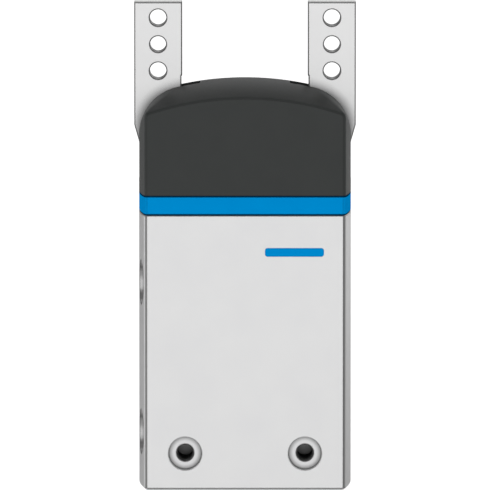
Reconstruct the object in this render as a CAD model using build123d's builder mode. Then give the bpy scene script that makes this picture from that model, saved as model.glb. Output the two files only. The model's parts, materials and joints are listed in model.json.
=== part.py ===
from build123d import *
import os
from math import atan2, cos, radians, sin, sqrt

# A pneumatic radial gripper: a 16 mm piston drives two fingers that swing 90 degrees outwards.
# X runs across the wide front, Y through the depth (the front faces -Y), Z from the mounting
# base up to the fingertips. The origin is the middle of the bottom face, lengths are in mm.
# The fingers are drawn closed, with the piston at the lower end of its stroke.

os.makedirs("parts", exist_ok=True)

# ---------------------------------------------------------------- driving dimensions
# Body outline in plan, shared by the housing, the ring and the cover
half_depth = 11.0
half_width = 16.0
side_bulge = 0.85           # how far the narrow sides bow out beyond their front edges
edge_break = 0.3            # bevel along the long edges of the body
land_rise = 0.15            # narrow land between that bevel and the bowed side
land_length = 0.35
base_break = 0.3            # bevel around the bottom face
housing_seam_break = 0.1    # fine bevels along the seam between housing and ring
ring_seam_break = 0.25
bevel_depth = half_depth - edge_break
bow_depth = bevel_depth - land_length
corner_x = half_width - side_bulge
bevel_x = corner_x - land_rise

# Heights of the stacked outer parts
housing_top = 41.4
ring_top = 44.4
cover_crest = 61.35         # highest line of the cover, at mid depth

# Cover
crest_fall = 2.0            # the crest drops this much towards the front and back faces
crest_radius = 46.0
shoulder_radius = 7.7       # at mid depth
face_corner_radius = 1.0    # at the front and back faces
cover_wall = 1.0
cover_side_wall = 1.4       # front and back walls
slot_half_width = 2.5       # finger slot, across the depth
slot_inner_x = 6.8
slot_bottom = 46.2
section_steps = 4           # sections each side of mid depth that shape the cover

# Fingers
pivot_x = 9.4
pivot_z = 53.9
finger_half_thickness = 2.25
finger_tip_z = 72.9
grip_face_x = 9.47
grip_face_bottom = 61.8
grip_relief = 0.12          # the finger is set back this far below its gripping face
finger_outer_x = 16.7
heel_top_z = 54.4
heel_x = 15.9
heel_z = 51.6
hub_radius = 4.0
finger_hole_x = 13.1
finger_hole_radius = 1.25
finger_middle_hole_radius = 1.2
finger_middle_hole_z = 66.55
finger_hole_pitch = 4.0
finger_edge_break = 0.15
mouth_break = 0.15          # bevel at the mouth of jaw holes and threads

# Lever and yoke drive
lever_length = 4.5
lever_angle = 45.0          # below the horizontal when closed, above it when open
eye_radius = 1.9
drive_pin_radius = 1.0
drive_pin_half_length = 4.3
yoke_half_width = 6.9
yoke_half_depth = 4.4
yoke_web_half_width = 2.5
yoke_pocket_half_depth = 2.4
yoke_slot_play = 0.18       # above and below the drive pin
yoke_top_wall = 0.9
yoke_bottom_wall = 1.9
yoke_corner_break = 0.6

# Pivots
pivot_pin_radius = 1.5
pivot_pin_half_length = 7.5
bush_outer_radius = 2.2
running_play = 0.02
side_play = 0.05            # between a finger and the spacers beside it
spacer_radius = 1.95
cheek_inner_y = 4.7
cheek_outer_y = 7.7

# Cylinder
bore_radius = 8.0
bore_floor = 7.2
piston_bottom = 10.0
piston_length = 12.0
piston_play = 0.05
rod_radius = 2.5
rod_play = 0.03
fit_play = 0.01             # between pieces that are fixed to each other

# Mounting holes and ports
m3_core_radius = 1.25
centring_radius = 2.5
centring_depth = 1.3
side_mount_x = 9.0
side_mount_z = 5.5
side_thread_depth = 8.8     # thread depths are measured from the outer face
base_mount_x = 12.5
base_thread_depth = 8.0
port_y = -6.8
port_heights = (8.4, 31.0)
port_face_radius = 3.35
port_face_depth = 0.7
port_thread_depth = 4.5
air_channel_radius = 0.75
sensor_slot_x = 14.0
sensor_slot_y = 4.5
sensor_slot_radius = 1.5
sensor_slot_mouth = 2.2

# Carrier plate between housing and fingers
plate_half_width = 13.3
plate_half_depth = 8.7
ring_clearance = 0.3
ring_corner_radius = 1.5    # inside the ring
cheek_half_width = 12.6
cheek_top = 57.0
cheek_corner_break = 2.5
plate_corner_radius = 1.2
rod_passage_play = 0.3

# Screws and locating pins
carrier_screw_x = 11.2
carrier_screw_y = 2.7
carrier_screw_radius = 1.0
carrier_screw_length = 5.0
carrier_head_radius = 1.85
carrier_head_height = 1.8
carrier_head_depth = 1.9
locating_pin_place = 6.9
locating_pin_radius = 0.75
locating_pin_half_length = 2.0
cover_screw_x = 10.4
cover_screw_z = 47.6
cover_screw_radius = 1.0
cover_screw_head_radius = 1.8
cover_screw_head_height = 1.1
cover_screw_tip_y = 5.1
cover_boss_wall = 0.6
head_recess_play = 0.1      # around and above a screw head that is sunk into its piece
head_edge_share = 0.12      # bevel of a screw head, as a share of its height
socket_depth_share = 0.6    # depth of a hexagon socket, as a share of the head's height
carrier_screw_socket = 1.5  # socket sizes are given across flats
cover_screw_socket = 1.3
yoke_screw_socket = 1.3
piston_screw_socket = 1.6
yoke_screw_radius = 0.8
yoke_screw_head_radius = 1.6
yoke_screw_head_height = 1.1
yoke_screw_head_depth = 1.3
yoke_screw_length = 4.5
piston_screw_radius = 1.0
piston_screw_head_radius = 2.4
piston_screw_head_height = 1.6
piston_screw_length = 6.0

# Piston, rod and rod guide details: each groove is (bottom, height, floor radius)
lower_groove = (11.0, 2.0, 6.0)
magnet_groove = (14.4, 3.2, 5.6)
upper_groove = (19.0, 2.0, 6.0)
magnet_depth_below_bore = 0.3
piston_recess_depth = 2.2
piston_edge_break = 0.3
seal_play = 0.1
seal_clearance = 0.03       # between the piston seals' lips and the bore
seal_relief = 0.35
rod_end_radius = 1.5
rod_end_length = 2.4
rod_tail_radius = 1.8
guide_bottom = 33.0
guide_nose_bottom = 30.4
guide_nose_radius = 5.6
guide_bore_play = 0.1
rod_seal_radius = 4.2
rod_seal_height = 2.4
rod_bush_radius = 3.6
rod_bush_length = 4.6
o_ring_section_radius = 0.6
o_ring_groove_bottom = 34.6
o_ring_groove_height = 1.7
lower_bumper_radius = 5.5
upper_bumper_hole_radius = 3.0
bumper_gap = 0.3

# ---------------------------------------------------------------- worked out from the above
lever_reach = lever_length * cos(radians(lever_angle))
drive_pin_x = pivot_x - lever_reach
drive_pin_z = pivot_z - lever_reach
stroke = 2 * lever_reach
yoke_bottom = drive_pin_z - drive_pin_radius - yoke_slot_play - yoke_bottom_wall
yoke_top = drive_pin_z + drive_pin_radius + yoke_slot_play + yoke_top_wall
piston_top = piston_bottom + piston_length
sides = (-1, 1)
side_names = {-1: "left", 1: "right"}
cover_screw_places = [(side * cover_screw_x, cover_screw_z) for side in sides]
locating_pin_places = [(side * locating_pin_place, side * locating_pin_place) for side in sides]


def save(builder, name):
    """Label a finished piece and write it as its own file."""
    builder.part.label = name
    export_step(builder.part, f"parts/{name}.step")


def body_plan():
    """Plan of the body: flat front and back, bowed narrow sides, bevelled long edges."""
    with BuildSketch(mode=Mode.PRIVATE) as plan:
        with BuildLine():
            for side in sides:
                ThreePointArc(
                    (side * corner_x, -bow_depth), (side * half_width, 0), (side * corner_x, bow_depth)
                )
                Polyline(
                    (corner_x, side * bow_depth),
                    (bevel_x, side * bevel_depth),
                    (bevel_x - edge_break, side * half_depth),
                    (edge_break - bevel_x, side * half_depth),
                    (-bevel_x, side * bevel_depth),
                    (-corner_x, side * bow_depth),
                )
        make_face()
    return plan.sketch


def cover_outline(depth, inset):
    """Front view of the cover at one depth: straight sides, round shoulders, arched top."""
    fall = (depth / bow_depth) ** 2
    side_x = half_width - side_bulge * fall - inset
    crest = cover_crest - crest_fall * fall - inset
    shoulder = shoulder_radius - (shoulder_radius - face_corner_radius) * fall - inset
    shoulder = max(shoulder, face_corner_radius / 2)
    arch = crest_radius - inset
    arch_z = crest - arch
    shoulder_x = side_x - shoulder
    shoulder_z = arch_z + sqrt((arch - shoulder) ** 2 - shoulder_x**2)
    turn = atan2(shoulder_z - arch_z, shoulder_x)
    meet_x = shoulder_x + shoulder * cos(turn)
    meet_z = shoulder_z + shoulder * sin(turn)
    middle_x = shoulder_x + shoulder * cos(turn / 2)
    middle_z = shoulder_z + shoulder * sin(turn / 2)
    with BuildSketch(mode=Mode.PRIVATE) as outline:
        with BuildLine():
            Line((-side_x, ring_top), (side_x, ring_top))
            Line((side_x, ring_top), (side_x, shoulder_z))
            ThreePointArc((side_x, shoulder_z), (middle_x, middle_z), (meet_x, meet_z))
            ThreePointArc((meet_x, meet_z), (0, crest), (-meet_x, meet_z))
            ThreePointArc((-meet_x, meet_z), (-middle_x, middle_z), (-side_x, shoulder_z))
            Line((-side_x, shoulder_z), (-side_x, ring_top))
        make_face()
    return outline.sketch


def round_piece(outer_radius, inner_radius, bottom, top):
    """A plain ring or, with no inner radius, a plain disc on the cylinder axis."""
    with BuildPart() as piece:
        with BuildSketch(Plane.XY.offset(bottom)):
            Circle(outer_radius)
            if inner_radius > 0:
                Circle(inner_radius, mode=Mode.SUBTRACT)
        extrude(amount=top - bottom)
    return piece


def cross_piece(outer_radius, inner_radius, x, z, y_from, y_to):
    """A plain pin or ring that lies along the depth."""
    with BuildPart() as piece:
        with BuildSketch(Plane.XZ.offset(-y_from)):
            with Locations((x, z)):
                Circle(outer_radius)
                if inner_radius > 0:
                    Circle(inner_radius, mode=Mode.SUBTRACT)
        extrude(amount=y_from - y_to)
    return piece


def socket_screw(head_radius, head_height, shank_radius, shank_length, socket_flats):
    """A cap screw that hangs from the underside of its head, which lies at Z = 0."""
    with BuildPart() as screw:
        with BuildSketch(Plane.XY):
            Circle(head_radius)
        extrude(amount=head_height)
        top_edge = screw.edges().filter_by(GeomType.CIRCLE).sort_by(Axis.Z)[-1]
        chamfer(top_edge, head_height * head_edge_share)
        with BuildSketch(Plane.XY.offset(head_height)):
            RegularPolygon(socket_flats / 2, 6, major_radius=False)
        extrude(amount=-head_height * socket_depth_share, mode=Mode.SUBTRACT)
        with BuildSketch(Plane.XY):
            Circle(shank_radius)
        extrude(amount=-shank_length)
    return screw.part


def hole_edges(builder, radius):
    """The round edges of a piece that belong to holes of one radius."""
    circles = builder.edges().filter_by(GeomType.CIRCLE)
    return circles.filter_by(lambda edge: abs(edge.radius - radius) < fit_play)


# ---------------------------------------------------------------- housing
with BuildPart() as housing:
    with BuildSketch():
        add(body_plan())
    extrude(amount=housing_top)
    chamfer(housing.edges().group_by(Axis.Z)[0], base_break)
    chamfer(housing.edges().group_by(Axis.Z)[-1], housing_seam_break)

    # Cylinder bore, open at the top
    with BuildSketch(Plane.XY.offset(bore_floor)):
        Circle(bore_radius)
    extrude(amount=housing_top - bore_floor, mode=Mode.SUBTRACT)

    # Mounting threads in the front and back faces, each with a centring recess
    front_face = Plane((0, -half_depth, side_mount_z), x_dir=(1, 0, 0), z_dir=(0, -1, 0))
    back_face = Plane((0, half_depth, side_mount_z), x_dir=(1, 0, 0), z_dir=(0, 1, 0))
    for face in (front_face, back_face):
        with Locations(face):
            with Locations((-side_mount_x, 0), (side_mount_x, 0)):
                CounterBoreHole(m3_core_radius, centring_radius, centring_depth, side_thread_depth)
    thread_edges = hole_edges(housing, m3_core_radius).group_by(Axis.Y)
    chamfer(thread_edges[0] + thread_edges[-1], mouth_break)

    # The same in the bottom face
    with Locations(Plane.XY.rotated((180, 0, 0))):
        with Locations((-base_mount_x, 0), (base_mount_x, 0)):
            CounterBoreHole(m3_core_radius, centring_radius, centring_depth, base_thread_depth)
    chamfer(hole_edges(housing, m3_core_radius).group_by(Axis.Z)[0], mouth_break)

    # Air ports on the left side, each with a spot face, a thread and a channel to the bore
    for port_z in port_heights:
        with BuildSketch(Plane.YZ.offset(-half_width)):
            with Locations((port_y, port_z)):
                Circle(port_face_radius)
        extrude(amount=side_bulge * (port_y / bow_depth) ** 2 + port_face_depth, mode=Mode.SUBTRACT)
        with BuildSketch(Plane.YZ.offset(-half_width)):
            with Locations((port_y, port_z)):
                Circle(m3_core_radius)
        extrude(amount=port_thread_depth, mode=Mode.SUBTRACT)
        with BuildSketch(Plane.YZ.offset(-half_width)):
            with Locations((port_y, port_z)):
                Circle(air_channel_radius)
        extrude(amount=half_width - bore_radius / 2, mode=Mode.SUBTRACT)
    chamfer(hole_edges(housing, m3_core_radius).group_by(Axis.X)[0], mouth_break)

    # Sensor slots along both narrow sides
    for side in sides:
        with BuildSketch(Plane.XY):
            with Locations((side * sensor_slot_x, sensor_slot_y)):
                Circle(sensor_slot_radius)
            with Locations((side * (sensor_slot_x + sensor_slot_radius), sensor_slot_y)):
                Rectangle(2 * sensor_slot_radius, sensor_slot_mouth)
        extrude(amount=housing_top, mode=Mode.SUBTRACT)

    # Threads for the carrier screws and holes for the locating pins
    with Locations(Plane.XY.offset(housing_top)):
        with GridLocations(2 * carrier_screw_x, 2 * carrier_screw_y, 2, 2):
            Hole(carrier_screw_radius + fit_play, depth=carrier_screw_length)
        with Locations(*locating_pin_places):
            Hole(locating_pin_radius + fit_play, depth=locating_pin_half_length)

save(housing, "housing")

# ---------------------------------------------------------------- blue ring
with BuildPart() as spacer_ring:
    with BuildSketch(Plane.XY.offset(housing_top)):
        add(body_plan())
    extrude(amount=ring_top - housing_top)
    chamfer(spacer_ring.edges().group_by(Axis.Z)[0], ring_seam_break)
    chamfer(spacer_ring.edges().group_by(Axis.Z)[-1], ring_seam_break)
    with BuildSketch(Plane.XY.offset(housing_top)):
        RectangleRounded(
            2 * (plate_half_width + ring_clearance),
            2 * (plate_half_depth + ring_clearance),
            ring_corner_radius,
        )
    extrude(amount=ring_top - housing_top, mode=Mode.SUBTRACT)

save(spacer_ring, "spacer_ring")

# ---------------------------------------------------------------- cover
with BuildPart() as cover_hollow:
    for step in range(-section_steps, section_steps + 1):
        depth = (half_depth - cover_side_wall) * step / section_steps
        with BuildSketch(Plane.XZ.offset(-depth)):
            add(cover_outline(depth, cover_wall))
    loft()

with BuildPart() as cover:
    for step in range(-section_steps, section_steps + 1):
        depth = bow_depth * step / section_steps
        with BuildSketch(Plane.XZ.offset(-depth)):
            add(cover_outline(depth, 0))
    loft()
    # Land and bevel around the flat front and back faces, as on the housing
    rim_steps = ((bow_depth, 0), (bevel_depth, land_rise), (half_depth, land_rise + edge_break))
    for side in sides:
        for rim_start, rim_end in zip(rim_steps, rim_steps[1:]):
            for rim_depth, rim_inset in (rim_start, rim_end):
                with BuildSketch(Plane.XZ.offset(-side * rim_depth)):
                    add(cover_outline(bow_depth, rim_inset))
            loft(ruled=True)
    add(cover_hollow.part, mode=Mode.SUBTRACT)
    # Finger slots, over the shoulders and down the narrow sides
    for side in sides:
        with BuildSketch(Plane.XY.offset(slot_bottom)):
            with Locations((side * (slot_inner_x + half_width / 2), 0)):
                Rectangle(half_width, 2 * slot_half_width)
        extrude(amount=cover_crest - slot_bottom, mode=Mode.SUBTRACT)
    # Bosses and countersunk holes for the cover screws, on the back
    with BuildSketch(Plane.XZ.offset(-cheek_outer_y - ring_clearance)):
        with Locations(*cover_screw_places):
            Circle(cover_screw_head_radius + cover_boss_wall)
    extrude(amount=-(half_depth - cover_side_wall - cheek_outer_y))
    with BuildSketch(Plane.XZ.offset(-cheek_outer_y)):
        with Locations(*cover_screw_places):
            Circle(cover_screw_radius + fit_play)
    extrude(amount=cheek_outer_y - half_depth, mode=Mode.SUBTRACT)
    with BuildSketch(Plane.XZ.offset(-half_depth)):
        with Locations(*cover_screw_places):
            Circle(cover_screw_head_radius + head_recess_play)
    extrude(amount=cover_screw_head_height, mode=Mode.SUBTRACT)

save(cover, "cover")

# ---------------------------------------------------------------- finger carrier
with BuildPart() as finger_carrier:
    with BuildSketch(Plane.XY.offset(housing_top)):
        RectangleRounded(2 * plate_half_width, 2 * plate_half_depth, plate_corner_radius)
    extrude(amount=ring_top - housing_top)
    # Two cheeks that hold the pivot pins
    for side in sides:
        cheek_plane = Plane.XZ.offset(cheek_inner_y if side > 0 else -cheek_outer_y)
        with BuildSketch(cheek_plane) as cheek:
            with Locations((0, (ring_top + cheek_top) / 2)):
                Rectangle(2 * cheek_half_width, cheek_top - ring_top)
            chamfer(cheek.vertices().group_by(Axis.Z)[-1], cheek_corner_break)
        extrude(amount=cheek_outer_y - cheek_inner_y)
    with BuildSketch(Plane.XZ.offset(plate_half_depth)):
        with Locations((-pivot_x, pivot_z), (pivot_x, pivot_z)):
            Circle(pivot_pin_radius + fit_play)
    extrude(amount=-2 * plate_half_depth, mode=Mode.SUBTRACT)
    # Clearance hole for the piston rod, screw holes with head recesses, locating holes
    with Locations(Plane.XY.offset(ring_top)):
        Hole(rod_radius + rod_passage_play, depth=ring_top - housing_top)
        with GridLocations(2 * carrier_screw_x, 2 * carrier_screw_y, 2, 2):
            CounterBoreHole(
                carrier_screw_radius + fit_play,
                carrier_head_radius + fit_play,
                carrier_head_depth,
                depth=ring_top - housing_top,
            )
    with BuildSketch(Plane.XY.offset(housing_top)):
        with Locations(*locating_pin_places):
            Circle(locating_pin_radius + fit_play)
    extrude(amount=locating_pin_half_length, mode=Mode.SUBTRACT)
    # Threads for the cover screws in the back cheek
    with BuildSketch(Plane.XZ.offset(-cheek_outer_y)):
        with Locations(*cover_screw_places):
            Circle(cover_screw_radius + fit_play)
    extrude(amount=cheek_outer_y - cheek_inner_y, mode=Mode.SUBTRACT)

save(finger_carrier, "finger_carrier")

# ---------------------------------------------------------------- fingers
finger_profile = [
    (grip_face_x, finger_tip_z),
    (finger_outer_x, finger_tip_z),
    (finger_outer_x, heel_top_z),
    (heel_x, heel_z),
    (pivot_x, pivot_z - hub_radius),
    (pivot_x, pivot_z),
    (grip_face_x + grip_relief, pivot_z),
    (grip_face_x + grip_relief, grip_face_bottom),
    (grip_face_x, grip_face_bottom),
]

with BuildPart() as finger_right:
    with BuildSketch(Plane.XZ.offset(finger_half_thickness)):
        with BuildLine():
            Polyline(*finger_profile, close=True)
        make_face()
        with Locations((pivot_x, pivot_z)):
            Circle(hub_radius)
        with Locations((pivot_x - lever_reach / 2, pivot_z - lever_reach / 2)):
            SlotCenterToCenter(lever_length, 2 * eye_radius, rotation=lever_angle)
    extrude(amount=-2 * finger_half_thickness)
    broad_faces = finger_right.faces().filter_by(Axis.Y)
    chamfer([face.outer_wire().edges() for face in broad_faces], finger_edge_break)
    # Fixing holes for the jaws: a larger one at each end and one between them
    with BuildSketch(Plane.XZ.offset(finger_half_thickness)):
        with Locations((finger_hole_x, finger_middle_hole_z)):
            Circle(finger_middle_hole_radius)
            with GridLocations(0, 2 * finger_hole_pitch, 1, 2):
                Circle(finger_hole_radius)
    extrude(amount=-2 * finger_half_thickness, mode=Mode.SUBTRACT)
    jaw_hole_edges = hole_edges(finger_right, finger_hole_radius)
    chamfer(jaw_hole_edges + hole_edges(finger_right, finger_middle_hole_radius), mouth_break)
    # Seats for the pivot bush and the drive pin
    with BuildSketch(Plane.XZ.offset(finger_half_thickness)):
        with Locations((pivot_x, pivot_z)):
            Circle(bush_outer_radius + fit_play)
        with Locations((drive_pin_x, drive_pin_z)):
            Circle(drive_pin_radius + fit_play)
    extrude(amount=-2 * finger_half_thickness, mode=Mode.SUBTRACT)

with BuildPart() as finger_left:
    mirror(finger_right.part, about=Plane.YZ)

save(finger_right, "finger_right")
save(finger_left, "finger_left")

# ---------------------------------------------------------------- pivots, one set for each finger
for side in sides:
    name = side_names[side]
    pivot_pin = cross_piece(
        pivot_pin_radius, 0, side * pivot_x, pivot_z, -pivot_pin_half_length, pivot_pin_half_length
    )
    save(pivot_pin, f"pivot_pin_{name}")
    bush = cross_piece(
        bush_outer_radius,
        pivot_pin_radius + running_play,
        side * pivot_x,
        pivot_z,
        -finger_half_thickness,
        finger_half_thickness,
    )
    save(bush, f"pivot_bush_{name}")
    drive_pin = cross_piece(
        drive_pin_radius,
        0,
        side * drive_pin_x,
        drive_pin_z,
        -drive_pin_half_length,
        drive_pin_half_length,
    )
    save(drive_pin, f"drive_pin_{name}")
    for end, end_name in ((-1, "front"), (1, "back")):
        near = end * (finger_half_thickness + side_play)
        far = end * (cheek_inner_y - fit_play)
        spacer = cross_piece(
            spacer_radius,
            pivot_pin_radius + fit_play,
            side * pivot_x,
            pivot_z,
            min(near, far),
            max(near, far),
        )
        save(spacer, f"pivot_spacer_{end_name}_{name}")

# ---------------------------------------------------------------- yoke on the piston rod
with BuildPart() as yoke:
    with BuildSketch(Plane.XY.offset(yoke_bottom)):
        Rectangle(2 * yoke_half_width, 2 * yoke_half_depth)
        for side in sides:
            with Locations((side * (yoke_web_half_width + yoke_half_width) / 2, 0)):
                Rectangle(
                    yoke_half_width - yoke_web_half_width,
                    2 * yoke_pocket_half_depth,
                    mode=Mode.SUBTRACT,
                )
    extrude(amount=yoke_top - yoke_bottom)
    top_ends = yoke.faces().sort_by(Axis.Z)[-1].edges().filter_by(Axis.Y)
    chamfer(top_ends.group_by(Axis.X)[0] + top_ends.group_by(Axis.X)[-1], yoke_corner_break)
    # Cross slots for the drive pins, open at the outer ends
    slot_half_height = drive_pin_radius + yoke_slot_play
    slot_end_x = pivot_x - lever_length - yoke_slot_play
    for side in sides:
        with BuildSketch(Plane.XZ.offset(yoke_half_depth)):
            with Locations((side * slot_end_x, drive_pin_z)):
                Circle(slot_half_height)
            with Locations((side * (slot_end_x + yoke_half_width / 2), drive_pin_z)):
                Rectangle(yoke_half_width, 2 * slot_half_height)
        extrude(amount=-2 * yoke_half_depth, mode=Mode.SUBTRACT)
    # Seat for the rod end and for the screw that holds the yoke on it
    with BuildSketch(Plane.XY.offset(yoke_bottom)):
        Circle(rod_end_radius + fit_play)
    extrude(amount=rod_end_length + fit_play, mode=Mode.SUBTRACT)
    with Locations(Plane.XY.offset(yoke_top)):
        CounterBoreHole(
            yoke_screw_radius + fit_play, yoke_screw_head_radius + fit_play, yoke_screw_head_depth
        )

save(yoke, "yoke")

with BuildPart() as yoke_screw:
    with Locations((0, 0, yoke_top - yoke_screw_head_depth)):
        add(
            socket_screw(
                yoke_screw_head_radius,
                yoke_screw_head_height,
                yoke_screw_radius,
                yoke_screw_length,
                yoke_screw_socket,
            )
        )

save(yoke_screw, "yoke_screw")

# ---------------------------------------------------------------- piston rod
with BuildPart() as piston_rod:
    with BuildSketch(Plane.XY.offset(piston_top)):
        Circle(rod_radius)
    extrude(amount=yoke_bottom - piston_top)
    with BuildSketch(Plane.XY.offset(yoke_bottom)):
        Circle(rod_end_radius)
    extrude(amount=rod_end_length)
    with BuildSketch(Plane.XY.offset(piston_top)):
        Circle(rod_tail_radius)
    extrude(amount=-(piston_length - piston_recess_depth - fit_play))
    with Locations(Plane.XY.offset(yoke_bottom + rod_end_length)):
        Hole(yoke_screw_radius + fit_play, depth=yoke_screw_length)
    with Locations(Plane.XY.offset(piston_bottom + piston_recess_depth).rotated((180, 0, 0))):
        Hole(piston_screw_radius + fit_play, depth=piston_screw_length + fit_play)

save(piston_rod, "piston_rod")

# ---------------------------------------------------------------- piston with seals and magnet
with BuildPart() as piston:
    with BuildSketch(Plane.XY.offset(piston_bottom)):
        Circle(bore_radius - piston_play)
    extrude(amount=piston_length)
    chamfer(piston.edges().filter_by(GeomType.CIRCLE), piston_edge_break)
    for groove_bottom, groove_height, groove_floor in (lower_groove, magnet_groove, upper_groove):
        with BuildSketch(Plane.XY.offset(groove_bottom)):
            Circle(bore_radius)
            Circle(groove_floor, mode=Mode.SUBTRACT)
        extrude(amount=groove_height, mode=Mode.SUBTRACT)
    with BuildSketch(Plane.XY.offset(piston_bottom)):
        Circle(rod_tail_radius + fit_play)
    extrude(amount=piston_length, mode=Mode.SUBTRACT)
    with BuildSketch(Plane.XY.offset(piston_bottom)):
        Circle(piston_screw_head_radius + head_recess_play)
    extrude(amount=piston_recess_depth, mode=Mode.SUBTRACT)

save(piston, "piston")

for name, (groove_bottom, groove_height, groove_floor) in (
    ("piston_seal_lower", lower_groove),
    ("piston_seal_upper", upper_groove),
):
    with BuildPart() as piston_seal:
        with BuildSketch(Plane.XZ):
            with BuildLine():
                Polyline(
                    (groove_floor + fit_play, groove_bottom + seal_play),
                    (bore_radius - seal_relief, groove_bottom + seal_play),
                    (bore_radius - seal_clearance, groove_bottom + groove_height / 3),
                    (bore_radius - seal_relief, groove_bottom + groove_height / 2),
                    (bore_radius - seal_clearance, groove_bottom + 2 * groove_height / 3),
                    (bore_radius - seal_relief, groove_bottom + groove_height - seal_play),
                    (groove_floor + fit_play, groove_bottom + groove_height - seal_play),
                    close=True,
                )
            make_face()
        revolve(axis=Axis.Z)
    save(piston_seal, name)

magnet_bottom, magnet_height, magnet_floor = magnet_groove
piston_magnet = round_piece(
    bore_radius - magnet_depth_below_bore,
    magnet_floor + fit_play,
    magnet_bottom + fit_play,
    magnet_bottom + magnet_height - fit_play,
)
save(piston_magnet, "piston_magnet")

with BuildPart() as piston_screw:
    with Locations(Plane.XY.offset(piston_bottom + piston_recess_depth).rotated((180, 0, 0))):
        add(
            socket_screw(
                piston_screw_head_radius,
                piston_screw_head_height,
                piston_screw_radius,
                piston_screw_length,
                piston_screw_socket,
            )
        )

save(piston_screw, "piston_screw")

# ---------------------------------------------------------------- rod guide that closes the bore
with BuildPart() as rod_guide:
    with BuildSketch(Plane.XY.offset(guide_bottom)):
        Circle(bore_radius - fit_play)
    extrude(amount=housing_top - guide_bottom)
    with BuildSketch(Plane.XY.offset(guide_nose_bottom)):
        Circle(guide_nose_radius)
    extrude(amount=guide_bottom - guide_nose_bottom)
    with BuildSketch(Plane.XY.offset(guide_nose_bottom)):
        Circle(rod_radius + guide_bore_play)
    extrude(amount=housing_top - guide_nose_bottom, mode=Mode.SUBTRACT)
    with BuildSketch(Plane.XY.offset(guide_nose_bottom)):
        Circle(rod_seal_radius + fit_play)
    extrude(amount=rod_seal_height, mode=Mode.SUBTRACT)
    with BuildSketch(Plane.XY.offset(housing_top - rod_bush_length)):
        Circle(rod_bush_radius + fit_play)
    extrude(amount=rod_bush_length, mode=Mode.SUBTRACT)
    with BuildSketch(Plane.XY.offset(o_ring_groove_bottom)):
        Circle(bore_radius)
        Circle(bore_radius - 2 * o_ring_section_radius - fit_play, mode=Mode.SUBTRACT)
    extrude(amount=o_ring_groove_height, mode=Mode.SUBTRACT)

save(rod_guide, "rod_guide")

rod_bush = round_piece(
    rod_bush_radius, rod_radius + rod_play, housing_top - rod_bush_length, housing_top - fit_play
)
save(rod_bush, "rod_bush")

with BuildPart() as rod_seal:
    with BuildSketch(Plane.XZ):
        with BuildLine():
            Polyline(
                (rod_radius + seal_relief, guide_nose_bottom + seal_play),
                (rod_seal_radius, guide_nose_bottom + seal_play),
                (rod_seal_radius, guide_nose_bottom + rod_seal_height - seal_play),
                (rod_radius + seal_relief, guide_nose_bottom + rod_seal_height - seal_play),
                (rod_radius + rod_play, guide_nose_bottom + rod_seal_height / 2),
                close=True,
            )
        make_face()
    revolve(axis=Axis.Z)

save(rod_seal, "rod_seal")

with BuildPart() as guide_o_ring:
    with BuildSketch(Plane.XZ):
        with Locations(
            (
                bore_radius - o_ring_section_radius - fit_play / 2,
                o_ring_groove_bottom + o_ring_groove_height / 2,
            )
        ):
            Circle(o_ring_section_radius - fit_play)
    revolve(axis=Axis.Z)

save(guide_o_ring, "guide_o_ring")

# ---------------------------------------------------------------- end bumpers in the bore
save(round_piece(lower_bumper_radius, 0, bore_floor, piston_bottom - bumper_gap), "bumper_lower")
upper_bumper = round_piece(
    guide_nose_radius, upper_bumper_hole_radius, piston_top + stroke + bumper_gap, guide_nose_bottom
)
save(upper_bumper, "bumper_upper")

# ---------------------------------------------------------------- screws and locating pins
carrier_screw = socket_screw(
    carrier_head_radius,
    carrier_head_height,
    carrier_screw_radius,
    carrier_screw_length,
    carrier_screw_socket,
)
with BuildPart() as carrier_screws:
    with Locations(Plane.XY.offset(ring_top - carrier_head_depth)):
        with GridLocations(2 * carrier_screw_x, 2 * carrier_screw_y, 2, 2):
            add(carrier_screw)

save(carrier_screws, "carrier_screws")

with BuildPart() as locating_pins:
    with BuildSketch(Plane.XY.offset(housing_top - locating_pin_half_length)):
        with Locations(*locating_pin_places):
            Circle(locating_pin_radius)
    extrude(amount=2 * locating_pin_half_length - fit_play)

save(locating_pins, "locating_pins")

cover_screw_seat_y = half_depth - cover_screw_head_height
cover_screw = socket_screw(
    cover_screw_head_radius,
    cover_screw_head_height - head_recess_play,
    cover_screw_radius,
    cover_screw_seat_y - cover_screw_tip_y,
    cover_screw_socket,
)
with BuildPart() as cover_screws:
    for screw_x, screw_z in cover_screw_places:
        seat = Plane((screw_x, cover_screw_seat_y, screw_z), x_dir=(1, 0, 0), z_dir=(0, 1, 0))
        with Locations(seat):
            add(cover_screw)

save(cover_screws, "cover_screws")
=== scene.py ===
import json
import math
from collections import namedtuple

import bpy
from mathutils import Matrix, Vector


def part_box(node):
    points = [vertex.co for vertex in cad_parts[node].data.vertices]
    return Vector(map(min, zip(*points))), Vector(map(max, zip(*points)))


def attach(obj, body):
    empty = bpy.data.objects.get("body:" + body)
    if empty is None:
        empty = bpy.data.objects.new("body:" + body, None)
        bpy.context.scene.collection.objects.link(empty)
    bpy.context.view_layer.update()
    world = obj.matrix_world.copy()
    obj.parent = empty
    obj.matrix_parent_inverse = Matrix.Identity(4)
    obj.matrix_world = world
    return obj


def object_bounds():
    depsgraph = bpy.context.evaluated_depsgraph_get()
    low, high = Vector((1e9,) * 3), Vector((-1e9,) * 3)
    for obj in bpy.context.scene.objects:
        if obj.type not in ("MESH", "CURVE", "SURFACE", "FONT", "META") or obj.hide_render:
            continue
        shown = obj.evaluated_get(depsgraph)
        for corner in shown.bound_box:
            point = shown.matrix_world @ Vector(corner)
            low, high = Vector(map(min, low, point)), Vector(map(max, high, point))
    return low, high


# The pneumatic radial gripper in a plain studio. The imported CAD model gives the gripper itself;
# this script adds its materials, the ridges of the threads in the mounting holes and the ports,
# the printed bar, the floor, the lights and the camera. Everything is in metres.

MM = 0.001

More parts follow.
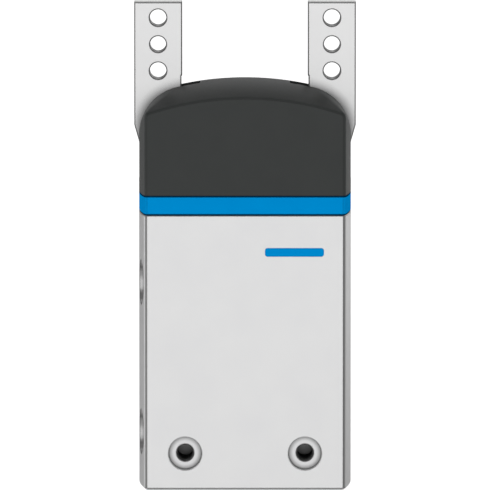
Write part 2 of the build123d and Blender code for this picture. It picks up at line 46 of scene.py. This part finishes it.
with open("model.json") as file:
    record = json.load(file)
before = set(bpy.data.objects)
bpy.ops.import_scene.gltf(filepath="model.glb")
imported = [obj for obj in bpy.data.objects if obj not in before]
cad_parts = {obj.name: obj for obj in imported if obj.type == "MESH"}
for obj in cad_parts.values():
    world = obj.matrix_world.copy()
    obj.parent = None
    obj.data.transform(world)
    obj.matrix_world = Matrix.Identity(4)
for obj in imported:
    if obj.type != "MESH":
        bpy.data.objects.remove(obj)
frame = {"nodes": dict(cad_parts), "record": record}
cad_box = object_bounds()


# ---------------------------------------------------------------- driving values: looks
# A mask over a surface: how far it reaches, and the values where it begins and where it is full.
Mask = namedtuple("Mask", "reach begins full")

# Painted shade in crevices, recesses and on the fingers next to the cover, from how open the surface
# is to its surroundings (1 on open faces).
FINE_SHADE = Mask(0.8 * MM, 1.0, 0.4)
FINGER_SHADE = Mask(1.6 * MM, 1.0, 0.4)
DEEP_SHADE = Mask(3 * MM, 0.4, 0.15)

# Painted shade along square edges: a dark outline in place of the dark reflections on their narrow
# bevels, from the cosine between the rounded-off normal and the real one.
# The housing's begins later than the others, which leaves out its edges that have a bevel.
METAL_EDGE_SHADE = Mask(0.18 * MM, 1.0, 0.875)
HOUSING_EDGE_SHADE = Mask(0.35 * MM, 0.93, 0.86)
PLASTIC_EDGE_SHADE = Mask(0.09 * MM, 1.0, 0.98)

# A bevel is found by how much its normal's share along an axis differs from the share that it has
# at 45 degrees, and a face that looks down by its normal's share along Z.
BEVEL_BEGINS, BEVEL_FULL = 0.22, 0.1
DOWNWARD_FULL, DOWNWARD_ENDS = -0.85, -0.6

# Nearly all values of a noise lie between these two.
NOISE_LOW, NOISE_HIGH = 0.3, 0.7

# Tones of painted shade in metal: in hollows, as a share of its light tone, and on outlines, of its
# edge tone.
HOLLOW_SHADE_TONE = 0.25
EDGE_SHADE_TONE = 0.2

# Patches of slightly different tone, and how much the roughness varies with the grain.
METAL_PATCHES = 6 * MM
METAL_ROUGHNESS_CHANGE = 0.04
PLASTIC_PATCHES = 4 * MM
PLASTIC_ROUGHNESS_CHANGE = 0.05

# ---------------------------------------------------------------- driving values: details
# The CAD holes have the core diameter of the thread, so a ridge stands on their wall, with its
# root a little way inside it. The height is measured from the root.
THREAD_PITCH = 0.5 * MM
THREAD_STEPS_PER_TURN = 28
RIDGE_ROOT = 0.01 * MM
RIDGE_HEIGHT = 0.12 * MM
RIDGE_HALF_WIDTH = 0.4 * THREAD_PITCH

# The printed bar: its sides as shares of half the housing's width, its top and bottom as shares
# of the housing's height, and the radius of its corners as a share of its own height.
BAR_LEFT, BAR_RIGHT = 0.1875, 0.74
BAR_BOTTOM, BAR_TOP = 0.851, 0.882
BAR_CORNER = 0.3
BAR_CORNER_STEPS = 5
BAR_THICKNESS = 0.02 * MM

# ---------------------------------------------------------------- driving values: studio
# The gap keeps the floor clear of the gripper's base.
FLOOR_REACH = 3.0
FLOOR_GAP = 0.05 * MM
FLOOR_GLOW = 0.75

WORLD_STRENGTH = 0.3
# Every light faces a point about half way up the gripper.
LIGHT_TARGET = (0, 0, 36 * MM)
# Name, place, width and height, and power in watts.
SOFTBOXES = (
    ("front_softbox", (0, -1.6, 0.35), (2.4, 2.0), 11.5),
    ("left_softbox", (-1.15, 1.0, 0.15), (0.4, 0.8), 1.0),
    ("side_softbox", (-1.5, -0.1, 0.2), (0.6, 0.8), 0.8),
    ("back_right_softbox", (0.6, 1.4, 0.3), (0.6, 0.9), 1.1),
    ("back_softbox", (0, 1.7, 0.9), (0.5, 0.7), 1),
    ("top_softbox", (0, 0, 1.5), (1.2, 1.2), 1.5),
)

CAMERA_DISTANCE = 1.38
CAMERA_ELEVATION = math.radians(5.3)
CAMERA_FIELD_WIDTH = 73.5 * MM
# The height that the camera looks at, as a share of the gripper's height.
CAMERA_TARGET = 0.5074
CAMERA_SENSOR_MM = 36


# ---------------------------------------------------------------- material building blocks
class Surface:
    """A procedural material under construction: a Principled shader and the nodes that feed it."""

    def __init__(self, name):
        self.material = bpy.data.materials.new(name)
        self.material.use_nodes = True
        self.tree = self.material.node_tree
        self.shader = self.tree.nodes["Principled BSDF"]
        self.coordinates = self.tree.nodes.new("ShaderNodeTexCoord")
        self.place = self.coordinates.outputs["Object"]

    def node(self, kind, **settings):
        made = self.tree.nodes.new(kind)
        for key, value in settings.items():
            setattr(made, key, value)
        return made

    def link(self, source, target):
        self.tree.links.new(source, target)

    def set(self, **values):
        """Sets constant sockets of the shader, named with underscores."""
        for key, value in values.items():
            self.shader.inputs[key.replace("_", " ")].default_value = value

    def arithmetic(self, operation, first, second=None):
        """One step of arithmetic; second is an output, a constant or left out."""
        step = self.node("ShaderNodeMath", operation=operation)
        self.link(first, step.inputs[0])
        if isinstance(second, float):
            step.inputs[1].default_value = second
        elif second:
            self.link(second, step.inputs[1])
        return step.outputs["Value"]

    def ranged(self, value, begins, full, low=0.0, high=1.0):
        """Goes from low to high as value goes from begins to full, and no further."""
        mapped = self.node("ShaderNodeMapRange")
        mapped.inputs["From Min"].default_value = begins
        mapped.inputs["From Max"].default_value = full
        mapped.inputs["To Min"].default_value = low
        mapped.inputs["To Max"].default_value = high
        self.link(value, mapped.inputs["Value"])
        return mapped.outputs["Result"]

    def stretched(self, scale):
        """Object coordinates scaled differently along each axis."""
        mapping = self.node("ShaderNodeMapping")
        mapping.inputs["Scale"].default_value = scale
        self.link(self.place, mapping.inputs["Vector"])
        return mapping.outputs["Vector"]

    def noise(self, size, detail, coordinates=None):
        """Noise whose features are about size metres across."""
        texture = self.node("ShaderNodeTexNoise")
        texture.inputs["Scale"].default_value = 1 / size
        texture.inputs["Detail"].default_value = detail
        self.link(coordinates or self.place, texture.inputs["Vector"])
        return texture.outputs["Fac"]

    def spread(self, noise, low, high):
        """Maps the values of a noise onto the range from low to high."""
        return self.ranged(noise, NOISE_LOW, NOISE_HIGH, low, high)

    def mix(self, amount, first, second):
        """Colour mix: first where amount is 0, second where it is 1."""
        mixer = self.node("ShaderNodeMix", data_type="RGBA")
        for socket, value in (("A_Color", first), ("B_Color", second)):
            target = next(i for i in mixer.inputs if i.identifier == socket)
            if isinstance(value, tuple):
                target.default_value = (*value, 1)
            else:
                self.link(value, target)
        self.link(amount, mixer.inputs["Factor"])
        return next(o for o in mixer.outputs if o.identifier == "Result_Color")

    def crevices(self, mask):
        """1 where something within the mask's reach closes off the surface, 0 on open faces."""
        openness = self.node("ShaderNodeAmbientOcclusion", samples=8)
        openness.inputs["Distance"].default_value = mask.reach
        return self.ranged(openness.outputs["AO"], mask.begins, mask.full)

    def edges(self, mask):
        """1 along edges of the piece, within the mask's reach of them, and 0 elsewhere."""
        bevel = self.node("ShaderNodeBevel", samples=6)
        bevel.inputs["Radius"].default_value = mask.reach
        geometry = self.node("ShaderNodeNewGeometry")
        alike = self.node("ShaderNodeVectorMath", operation="DOT_PRODUCT")
        self.link(bevel.outputs["Normal"], alike.inputs[0])
        self.link(geometry.outputs["Normal"], alike.inputs[1])
        return self.ranged(alike.outputs["Value"], mask.begins, mask.full)

    def facing(self, axis):
        """How far the surface faces along one of the piece's own axes, from -1 to 1."""
        normal = self.node("ShaderNodeSeparateXYZ")
        self.link(self.coordinates.outputs["Normal"], normal.inputs["Vector"])
        return normal.outputs[axis]

    def not_facing_down(self):
        """1 on faces that look up or sideways, falling towards 0 where they look down."""
        return self.ranged(self.facing("Z"), DOWNWARD_FULL, DOWNWARD_ENDS)

    def bevels(self, axis):
        """1 on bevels that lie at about 45 degrees to an axis, 0 on faces along or across it."""
        size = self.arithmetic("ABSOLUTE", self.facing(axis))
        off = self.arithmetic("SUBTRACT", size, math.cos(math.radians(45)))
        return self.ranged(self.arithmetic("ABSOLUTE", off), BEVEL_BEGINS, BEVEL_FULL)

    def finish(self, colour, grain, grain_depth, rough, rough_change):
        """Joins the colour, the roughness and the bump of the grain to the shader."""
        self.link(colour, self.shader.inputs["Base Color"])
        roughness = self.spread(grain, rough - rough_change, rough + rough_change)
        self.link(roughness, self.shader.inputs["Roughness"])
        bump = self.node("ShaderNodeBump")
        bump.inputs["Strength"].default_value = 1.0
        bump.inputs["Distance"].default_value = grain_depth
        self.link(grain, bump.inputs["Height"])
        self.link(bump.outputs["Normal"], self.shader.inputs["Normal"])
        return self.material


# The edge tone colours the painted shade on bevels, and, darkened, the painted shade along edges.
def metal(
    name, light, dark, edge, rough, grain_size, grain_depth,
    lay=(1, 1, 1), shade=FINE_SHADE, outline=METAL_EDGE_SHADE, bevel_axis=None,
):
    """Bare or anodised metal: fine grain along lay, slight tone changes, and painted shade in
    hollows, along edges and on bevels.
    """
    surface = Surface(name)
    surface.set(Metallic=0.85, Specular_IOR_Level=0.5)
    patches = surface.spread(surface.noise(METAL_PATCHES, detail=2.0), 0.0, 1.0)
    colour = surface.mix(patches, light, dark)
    # Painted shade: the colour darkens towards a fixed dark tone in crevices, recesses and deep
    # holes, and on the fingers next to the cover.
    painted_hollow_shade = tuple(HOLLOW_SHADE_TONE * tone for tone in light)
    colour = surface.mix(surface.crevices(shade), colour, painted_hollow_shade)
    colour = surface.mix(surface.crevices(DEEP_SHADE), colour, painted_hollow_shade)
    # Painted shade on the bevels at 45 degrees to the axis, in the edge tone, in place of their dark
    # reflections; it fades out on bevels that look down.
    if bevel_axis:
        bevels = surface.bevels(bevel_axis)
        painted_bevel_shade = surface.arithmetic("MULTIPLY", bevels, surface.not_facing_down())
        colour = surface.mix(painted_bevel_shade, colour, edge)
    # Painted shade along the edges: a dark outline in place of the dark reflections on their narrow
    # bevels.
    painted_edge_shade = tuple(EDGE_SHADE_TONE * tone for tone in edge)
    colour = surface.mix(surface.edges(outline), colour, painted_edge_shade)
    grain = surface.noise(grain_size, detail=4.0, coordinates=surface.stretched(lay))
    return surface.finish(colour, grain, grain_depth, rough, METAL_ROUGHNESS_CHANGE)


# The edge tone colours the painted shade along edges and bevels.
def plastic(name, tone, variation, edge, rough, gloss, grain_size, grain_depth, bevel_axis=None):
    """Moulded plastic: an eroded grain, slight tone changes and painted shade along edges and bevels.
    """
    surface = Surface(name)
    surface.set(Metallic=0.0, IOR=1.47, Specular_IOR_Level=gloss)
    patches = surface.spread(surface.noise(PLASTIC_PATCHES, detail=2.0), 0.0, 1.0)
    body = surface.mix(patches, tone, variation)
    # Painted shade along the edges: a dark outline in place of the dark reflections on their narrow
    # bevels.
    outline = surface.edges(PLASTIC_EDGE_SHADE)
    # Painted shade on the bevels at 45 degrees to the axis as well, in the edge tone.
    if bevel_axis:
        outline = surface.arithmetic("MAXIMUM", outline, surface.bevels(bevel_axis))
    colour = surface.mix(outline, body, edge)
    grain = surface.noise(grain_size, detail=5.0)
    return surface.finish(colour, grain, grain_depth, rough, PLASTIC_ROUGHNESS_CHANGE)


# ---------------------------------------------------------------- the materials, one per slot
def anodised_aluminium():
    return metal(
        "anodised_aluminium",
        light=(0.78, 0.78, 0.78), dark=(0.76, 0.76, 0.765), edge=(0.34, 0.34, 0.34),
        rough=0.36, grain_size=0.08 * MM, grain_depth=0.002 * MM,
        outline=HOUSING_EDGE_SHADE, bevel_axis="Y",
    )


def finger_steel():
    return metal(
        "finger_steel",
        light=(0.80, 0.80, 0.80), dark=(0.78, 0.78, 0.78), edge=(0.26, 0.26, 0.26),
        rough=0.36, grain_size=0.05 * MM, grain_depth=0.002 * MM,
        lay=(1, 1, 0.08), shade=FINGER_SHADE, bevel_axis="Y",
    )


def machined_aluminium():
    return metal(
        "machined_aluminium",
        light=(0.62, 0.62, 0.63), dark=(0.55, 0.55, 0.56), edge=(0.2, 0.2, 0.2),
        rough=0.36, grain_size=0.06 * MM, grain_depth=0.003 * MM, lay=(0.1, 1, 1),
    )


def milled_steel():
    return metal(
        "steel",
        light=(0.42, 0.42, 0.43), dark=(0.36, 0.36, 0.37), edge=(0.15, 0.15, 0.15),
        rough=0.32, grain_size=0.05 * MM, grain_depth=0.002 * MM, lay=(1, 0.1, 1),
    )


def ground_steel():
    return metal(
        "ground_steel",
        light=(0.60, 0.60, 0.61), dark=(0.56, 0.56, 0.57), edge=(0.2, 0.2, 0.2),
        rough=0.2, grain_size=0.03 * MM, grain_depth=0.001 * MM, lay=(1, 0.1, 1),
    )


def zinc_screw():
    return metal(
        "zinc_screw",
        light=(0.55, 0.56, 0.58), dark=(0.48, 0.49, 0.52), edge=(0.15, 0.15, 0.16),
        rough=0.3, grain_size=0.1 * MM, grain_depth=0.002 * MM,
    )


def black_screw():
    return metal(
        "black_screw",
        light=(0.035, 0.035, 0.037), dark=(0.028, 0.028, 0.03), edge=(0.08, 0.08, 0.08),
        rough=0.4, grain_size=0.1 * MM, grain_depth=0.002 * MM,
    )


def bronze():
    return metal(
        "bronze",
        light=(0.55, 0.33, 0.14), dark=(0.48, 0.28, 0.12), edge=(0.25, 0.14, 0.06),
        rough=0.45, grain_size=0.08 * MM, grain_depth=0.006 * MM,
    )


def magnet():
    return metal(
        "magnet",
        light=(0.06, 0.055, 0.055), dark=(0.045, 0.04, 0.04), edge=(0.03, 0.03, 0.03),
        rough=0.6, grain_size=0.1 * MM, grain_depth=0.005 * MM,
    )


def black_plastic():
    return plastic(
        "black_plastic",
        tone=(0.032, 0.035, 0.034), variation=(0.030, 0.033, 0.032), edge=(0.012, 0.013, 0.013),
        rough=0.5, gloss=0.3, grain_size=0.12 * MM, grain_depth=0.006 * MM,
    )


def blue_plastic():
    return plastic(
        "blue_plastic",
        tone=(0.0, 0.25, 0.61), variation=(0.0, 0.242, 0.60), edge=(0.002, 0.05, 0.12),
        rough=0.5, gloss=0.0, grain_size=0.12 * MM, grain_depth=0.004 * MM, bevel_axis="Z",
    )


def seal_rubber():
    return plastic(
        "seal_rubber",
        tone=(0.02, 0.02, 0.02), variation=(0.016, 0.016, 0.016), edge=(0.012, 0.012, 0.012),
        rough=0.6, gloss=0.4, grain_size=0.1 * MM, grain_depth=0.004 * MM,
    )


MATERIALS = {
    "anodised_aluminium": anodised_aluminium,
    "machined_aluminium": machined_aluminium,
    "finger_steel": finger_steel,
    "steel": milled_steel,
    "ground_steel": ground_steel,
    "zinc_screw": zinc_screw,
    "black_screw": black_screw,
    "bronze": bronze,
    "magnet": magnet,
    "black_plastic": black_plastic,
    "blue_plastic": blue_plastic,
    "seal_rubber": seal_rubber,
}


def dress_cad_nodes():
    """Gives every CAD node the material of its slot in the record, and returns the materials."""
    made = {slot: build() for slot, build in MATERIALS.items()}
    for part in frame["record"]["subparts"]:
        node = frame["nodes"][part["node"]]
        node.data.materials.clear()
        node.data.materials.append(made[part["material_slot"]])
    return made


# ---------------------------------------------------------------- details on the housing
def add_piece(name, points, faces, material):
    """A mesh that belongs to the gripper's body."""
    mesh = bpy.data.meshes.new(name)
    mesh.from_pydata(points, [], faces)
    mesh.validate()
    mesh.materials.append(material)
    piece = bpy.data.objects.new(name, mesh)
    bpy.context.scene.collection.objects.link(piece)
    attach(piece, "gripper_body")


def add_thread(mount, material):
    """The ridge of a metric thread, wound along a hole that is modelled at its core diameter."""
    outer = mount["dims"]["r_mm"] * MM + RIDGE_ROOT
    inner = outer - RIDGE_HEIGHT
    length = mount["dims"]["length_mm"] * MM - THREAD_PITCH
    axis = Vector(mount["axis"])
    across = axis.orthogonal().normalized()
    up = axis.cross(across)
    middle = Vector(mount["pos_m"])
    steps = int(length / THREAD_PITCH * THREAD_STEPS_PER_TURN)
    # Every step has three points: the ridge's root, its crest and its root on the other side.
    points = []
    for step in range(steps + 1):
        turn = 2 * math.pi * step / THREAD_STEPS_PER_TURN
        outward = across * math.cos(turn) + up * math.sin(turn)
        along = middle + axis * (length * (step / steps - 0.5))
        points.append(along + outward * outer - axis * RIDGE_HALF_WIDTH)
        points.append(along + outward * inner)
        points.append(along + outward * outer + axis * RIDGE_HALF_WIDTH)
    faces = [(0, 1, 2), (3 * steps + 2, 3 * steps + 1, 3 * steps)]
    for step in range(steps):
        near, far = 3 * step, 3 * step + 3
        for corner in range(3):
            following = (corner + 1) % 3
            faces.append((near + corner, far + corner, far + following, near + following))
    add_piece(mount["name"] + "_ridge", points, faces, material)


def add_printed_bar(material):
    """A plain blue bar printed near the top right of the front face."""
    low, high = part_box("housing")
    left, right = high.x * BAR_LEFT, high.x * BAR_RIGHT
    bottom, top = high.z * BAR_BOTTOM, high.z * BAR_TOP
    corner = (top - bottom) * BAR_CORNER
    # Each corner is a quarter circle, given by its centre and by where it starts, in degrees.
    outline = []
    for centre_x, centre_z, start in (
        (right - corner, top - corner, 0),
        (left + corner, top - corner, 90),
        (left + corner, bottom + corner, 180),
        (right - corner, bottom + corner, 270),
    ):
        for step in range(BAR_CORNER_STEPS + 1):
            angle = math.radians(start + 90 * step / BAR_CORNER_STEPS)
            outline.append((centre_x + corner * math.cos(angle), centre_z + corner * math.sin(angle)))
    count = len(outline)
    points = [(x, low.y - BAR_THICKNESS, z) for x, z in outline]
    points += [(x, low.y, z) for x, z in outline]
    faces = [tuple(range(count))]
    for place in range(count):
        following = (place + 1) % count
        faces.append((following, place, place + count, following + count))
    add_piece("printed_bar", points, faces, material)


def add_details(materials):
    for mount in frame["record"]["mounts"]:
        if mount["kind"] == "threaded_hole":
            add_thread(mount, materials["anodised_aluminium"])
    add_printed_bar(materials["blue_plastic"])


# ---------------------------------------------------------------- floor, lights and camera
def add_floor():
    """A pale floor just below the gripper, left out of reflections and of the crevice masks."""
    corners = [(-1, -1), (1, -1), (1, 1), (-1, 1)]
    points = [(x * FLOOR_REACH, y * FLOOR_REACH, -FLOOR_GAP) for x, y in corners]
    mesh = bpy.data.meshes.new("floor")
    mesh.from_pydata(points, [], [(0, 1, 2, 3)])
    floor = bpy.data.objects.new("floor", mesh)
    bpy.context.scene.collection.objects.link(floor)
    surface = Surface("floor")
    surface.set(Base_Color=(0.9, 0.9, 0.9, 1), Roughness=0.9)
    surface.set(Emission_Color=(1, 1, 1, 1), Emission_Strength=FLOOR_GLOW)
    mesh.materials.append(surface.material)
    floor.visible_glossy = False
    floor.visible_shadow = False


def add_softbox(name, place, size, power):
    """A rectangular light that faces the middle of the gripper."""
    light = bpy.data.lights.new(name, "AREA")
    light.shape = "RECTANGLE"
    light.size, light.size_y = size
    light.energy = power
    box = bpy.data.objects.new(name, light)
    box.location = place
    box.rotation_euler = (Vector(LIGHT_TARGET) - Vector(place)).to_track_quat("-Z", "Y").to_euler()
    bpy.context.scene.collection.objects.link(box)


def add_lights():
    world = bpy.data.worlds.new("studio")
    bpy.context.scene.world = world
    world.use_nodes = True
    world.node_tree.nodes["Background"].inputs["Color"].default_value = (1, 1, 1, 1)
    world.node_tree.nodes["Background"].inputs["Strength"].default_value = WORLD_STRENGTH
    for name, place, size, power in SOFTBOXES:
        add_softbox(name, place, size, power)


def add_camera():
    """A long lens in front of the gripper that looks down slightly on its middle."""
    low, high = cad_box
    target = Vector((0, low.y, high.z * CAMERA_TARGET))
    away = Vector((0, -math.cos(CAMERA_ELEVATION), math.sin(CAMERA_ELEVATION)))
    data = bpy.data.cameras.new("camera")
    data.sensor_width = CAMERA_SENSOR_MM
    data.lens = CAMERA_SENSOR_MM * CAMERA_DISTANCE / CAMERA_FIELD_WIDTH
    data.clip_start = 0.1
    data.clip_end = 20
    camera = bpy.data.objects.new("camera", data)
    camera.location = target + away * CAMERA_DISTANCE
    camera.rotation_euler = (-away).to_track_quat("-Z", "Y").to_euler()
    bpy.context.scene.collection.objects.link(camera)
    bpy.context.scene.camera = camera


add_details(dress_cad_nodes())
add_floor()
add_lights()
add_camera()
bpy.context.scene.view_settings.view_transform = "Standard"
